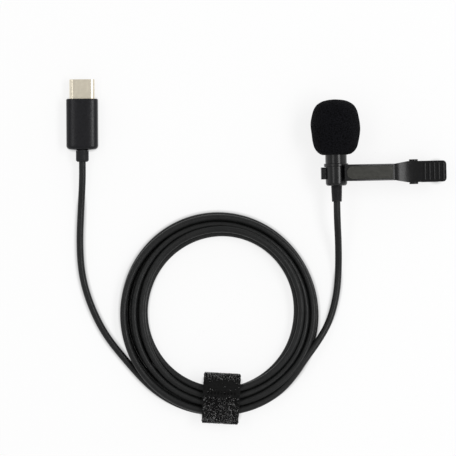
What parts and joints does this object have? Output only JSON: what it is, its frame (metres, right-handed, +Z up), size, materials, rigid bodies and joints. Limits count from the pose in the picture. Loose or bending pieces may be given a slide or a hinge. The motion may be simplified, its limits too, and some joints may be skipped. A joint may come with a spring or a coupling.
{
  "type": "lavalier_microphone",
  "caption": "Lavalier microphone with foam windscreen, swivel clip, and a coiled, tied cord that ends in a moulded USB-C plug",
  "frame": {"origin": "On the surface that it lies on, at the middle of the footprint of the microphone, windscreen and clip", "axes": "+Z up from the surface, +Y from the cord end of the microphone to its head, +X from the microphone along its clip to the thumb pads"},
  "size_m": [0.1241, 0.1142, 0.0163],
  "materials": {
    "barrel_gloss": "gloss",
    "soft_relief": "matte",
    "grille_metal": "satin",
    "woven_cloth": "matte",
    "capsule_metal": "satin",
    "circuit_board": "satin",
    "wire_skin": "satin",
    "foam": "matte",
    "clip_plastic": "semi-gloss",
    "pin_steel": "satin",
    "spring_steel": "satin",
    "housing_plastic": "satin",
    "nickel_shell": "satin",
    "insulator_plastic": "matte",
    "contact_gold": "polished",
    "chip_resin": "matte",
    "capacitor_ceramic": "matte",
    "tie_fabric": "matte",
    "cable_sheath": "satin"
  },
  "bodies": {
    "microphone": {"mic_barrel": "barrel_gloss", "tail_cap": "barrel_gloss", "mic_strain_relief": "soft_relief", "front_grille": "grille_metal", "dust_cloth": "woven_cloth", "capsule_boot": "soft_relief", "electret_capsule": "capsule_metal", "capsule_board": "circuit_board", "signal_wires": "wire_skin", "cable_mic_lead": "cable_sheath", "cable_coil": "cable_sheath", "cable_plug_lead": "cable_sheath", "tie_strap": "tie_fabric", "plug_strain_relief": "soft_relief", "plug_housing": "housing_plastic", "usb_shell": "nickel_shell", "contact_insulator": "insulator_plastic", "plug_contacts": "contact_gold", "side_latches": "spring_steel", "plug_board": "circuit_board", "converter_chip": "chip_resin", "board_capacitors": "capacitor_ceramic", "plug_wires": "wire_skin"},
    "windscreen": {"foam_windscreen": "foam"},
    "clip": {"clip_front_lever": "clip_plastic", "hinge_pin": "pin_steel", "torsion_spring": "spring_steel"},
    "rear_lever": {"clip_rear_lever": "clip_plastic"}
  },
  "joints": [
    {"name": "windscreen_slide", "type": "slide", "parent": "microphone", "child": "windscreen", "axis": [0, 1, 0], "range_m": [0, 0.0105]},
    {"name": "clip_swivel", "type": "hinge", "parent": "microphone", "child": "clip", "pos_m": [-0.0139, -0.00747, 0.00814], "axis": [0, 1, 0], "continuous": true},
    {"name": "rear_lever_hinge", "type": "hinge", "parent": "clip", "child": "rear_lever", "pos_m": [0.01146, -0.00747, 0.00625], "axis": [0, -1, 0], "range_deg": [0, 36], "stiffness_Nm_per_rad": 0.005, "springref_deg": -60.16, "deforming": ["torsion_spring"]}
  ]
}
